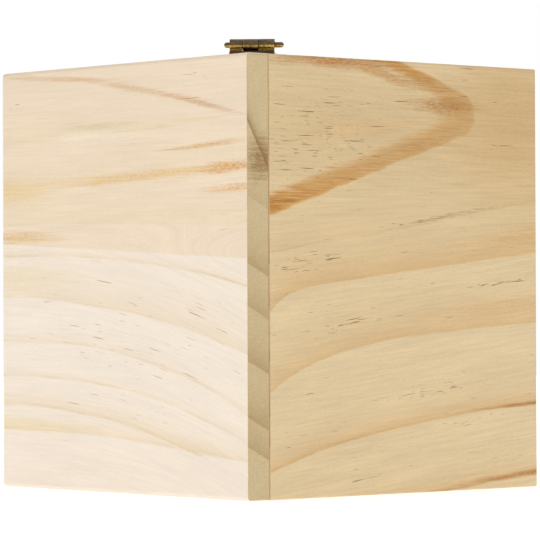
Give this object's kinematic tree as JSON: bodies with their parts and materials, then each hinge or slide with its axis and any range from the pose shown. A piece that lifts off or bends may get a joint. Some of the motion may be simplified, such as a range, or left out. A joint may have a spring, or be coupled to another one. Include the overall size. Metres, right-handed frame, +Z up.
{
  "type": "jack in the box",
  "caption": "Square pine box with a corner-hinged drop-in lid, a side crank, and a cloth jack on a coil spring inside.",
  "frame": {"origin": "middle of the underside of the box, on the ground", "axes": "+Z up; -Y is the front, the way the jack's face looks; +X is the side with the crank; the lid's hinge is at the -X +Y corner"},
  "size_m": [0.1699, 0.1396, 0.1578],
  "materials": {
    "pine_back": "bare sanded pine, cream",
    "pine_side": "bare sanded pine, honey tan with a brown flame",
    "pine_plain": "bare sanded pine",
    "plywood": "thin plywood",
    "aged_brass": "brass with dark brown patina",
    "brass": "satin brass",
    "steel": "plain steel",
    "iron": "dark cast iron",
    "red_paint": "red enamel on turned wood",
    "turned_wood": "turned beech",
    "red_cloth": "plain woven cotton",
    "yellow_felt": "felt and yarn",
    "blue_felt": "felt",
    "painted_skin": "painted wood, satin",
    "black_paint": "glossy black"
  },
  "bodies": {
    "case": {"back_wall": "pine_back", "left_wall": "pine_side", "front_wall": "pine_plain", "right_wall": "pine_plain", "base_board": "pine_plain", "deck_board": "plywood", "corner_blocks": "pine_plain", "deck_screws": "brass", "lid_stops": "pine_plain", "hinge_leaf_fixed": "aged_brass", "hinge_pin": "aged_brass", "hinge_screws_fixed": "aged_brass", "latch_bracket": "steel", "latch_pivot_pin": "steel", "latch_spring": "steel", "bracket_screws": "steel", "shaft_bushing": "brass", "movement_plate": "iron", "movement_screws": "steel", "bearing_posts": "brass", "comb_bed": "iron", "tone_comb": "steel", "comb_screws": "steel", "pop_spring": "steel", "spring_seat": "turned_wood", "seat_screw": "brass", "cloth_sleeve": "red_cloth", "sleeve_ring": "turned_wood", "sleeve_tacks": "brass"},
    "lid": {"lid_board": "pine_plain", "hinge_leaf_lid": "aged_brass", "hinge_screws_lid": "aged_brass", "catch_keeper": "brass", "keeper_screws": "brass"},
    "latch": {"latch_lever": "steel"},
    "crank": {"crank_shaft": "steel", "crank_arm": "brass", "crank_washer": "steel", "shaft_collar": "brass", "knob_pin": "steel", "crank_gear": "brass"},
    "knob": {"crank_knob": "red_paint"},
    "drum": {"drum_shaft": "steel", "tune_drum": "brass", "drum_gear": "brass", "trip_cam": "brass"},
    "jack": {"platform_disc": "turned_wood", "torso": "red_cloth", "neck_dowel": "turned_wood", "collar_ruff": "yellow_felt", "head": "painted_skin", "nose": "red_paint", "eyes": "black_paint", "hat": "blue_felt", "hat_pompom": "yellow_felt", "left_arm": "red_cloth", "right_arm": "red_cloth", "left_hand": "painted_skin", "right_hand": "painted_skin"}
  },
  "joints": [
    {"name": "lid_swing", "type": "hinge", "parent": "case", "child": "lid", "pos_m": [-0.05985, 0.05985, 0.1558], "axis": [-0.7071, -0.7071, 0], "range_deg": [0, 105]},
    {"name": "jack_rise", "type": "slide", "parent": "case", "child": "jack", "axis": [0, 0, 1], "range_m": [0, 0.12], "deforming": ["pop_spring", "cloth_sleeve"]},
    {"name": "latch_release", "type": "hinge", "parent": "case", "child": "latch", "pos_m": [0.04, -0.052, 0.044], "axis": [1, 0, 0], "range_deg": [0, 2.4], "stiffness_Nm_per_rad": 0.02, "springref_deg": -5.73},
    {"name": "crank_turn", "type": "hinge", "parent": "case", "child": "crank", "pos_m": [0.07, 0, 0.04], "axis": [1, 0, 0], "continuous": true},
    {"name": "knob_spin", "type": "hinge", "parent": "crank", "child": "knob", "pos_m": [0.088, 0, 0.013], "axis": [1, 0, 0], "continuous": true},
    {"name": "drum_turn", "type": "hinge", "parent": "case", "child": "drum", "pos_m": [0.005, -0.02182, 0.03], "axis": [1, 0, 0], "continuous": true}
  ],
  "couplings": [
    {"joint": "jack_rise", "follows": "lid_swing", "m_per_rad": 0.0654},
    {"joint": "drum_turn", "follows": "crank_turn", "ratio": -0.5}
  ]
}
